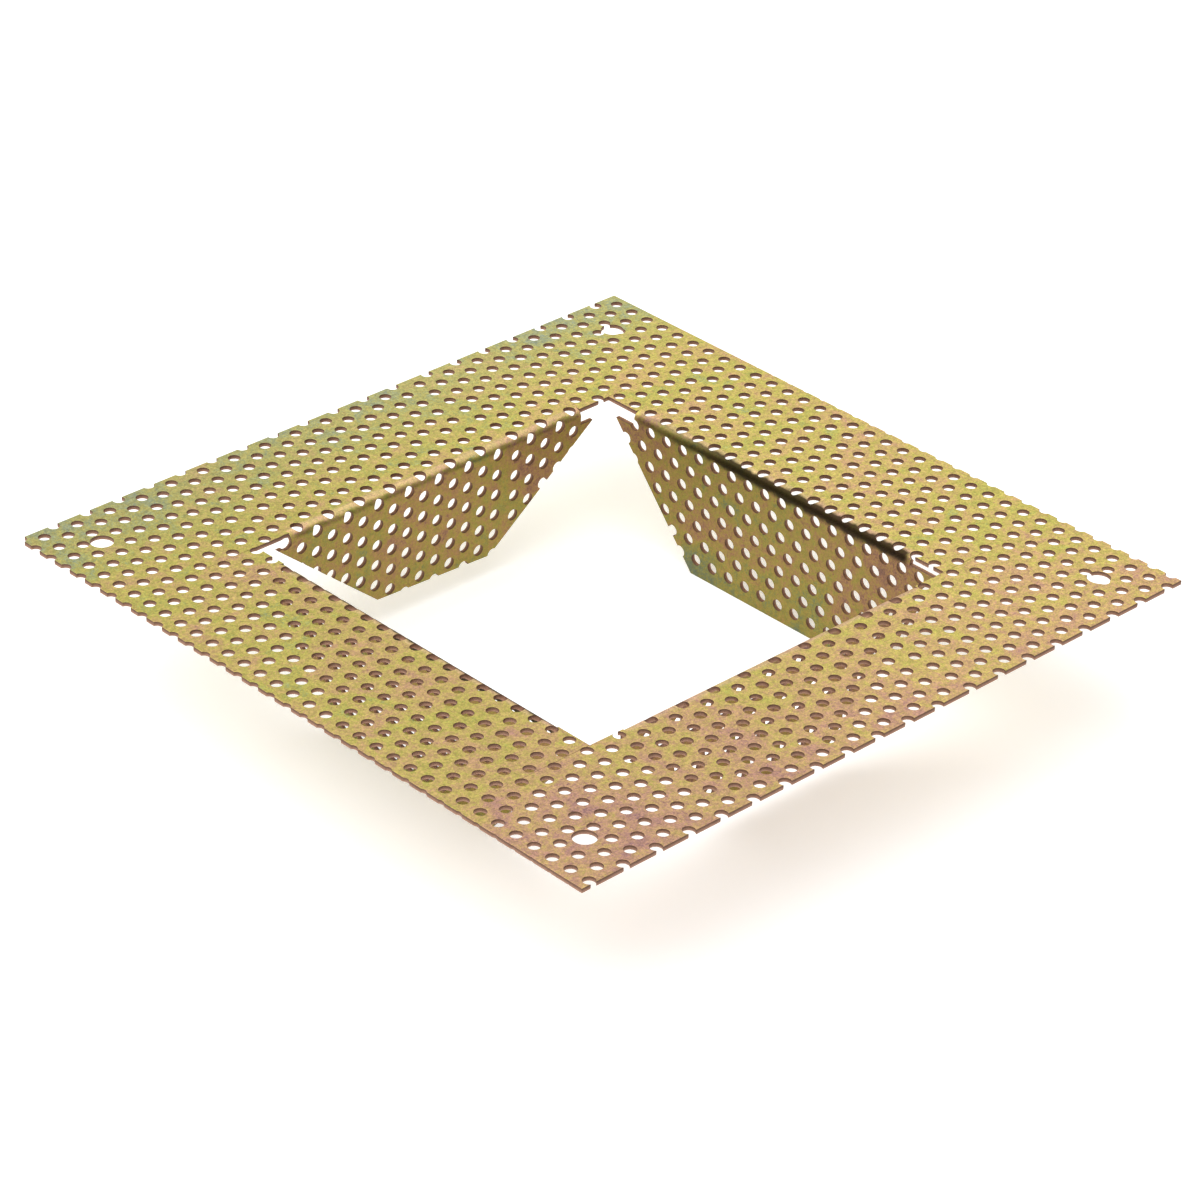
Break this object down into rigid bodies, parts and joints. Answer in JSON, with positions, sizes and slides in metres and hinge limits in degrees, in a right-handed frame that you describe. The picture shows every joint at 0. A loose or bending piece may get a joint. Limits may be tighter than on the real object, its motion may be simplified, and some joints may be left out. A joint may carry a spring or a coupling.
{
  "type": "perforated mounting frame",
  "caption": "Flat square flange of perforated sheet steel with a square opening, corner fixing holes and a fin folded down from each edge of the opening.",
  "frame": {"origin": "middle of the opening and of the four fixing holes, on the underside of the flange", "axes": "+Z out of the flange's show face, away from the fins; X and Y along the sides of the square, with the two short fins on the +Y and -Y edges of the opening and the two tall fins on the +X and -X edges"},
  "size_m": [0.169, 0.169, 0.0329],
  "materials": {
    "plated_sheet": "zinc plated with a yellow chromate passivation, matt satin, iridescent from olive to pink"
  },
  "bodies": {
    "root": {"flange_back": "plated_sheet", "flange_front": "plated_sheet", "flange_left": "plated_sheet", "flange_right": "plated_sheet", "fin_back": "plated_sheet", "fin_front": "plated_sheet", "fin_left": "plated_sheet", "fin_right": "plated_sheet"}
  },
  "joints": []
}
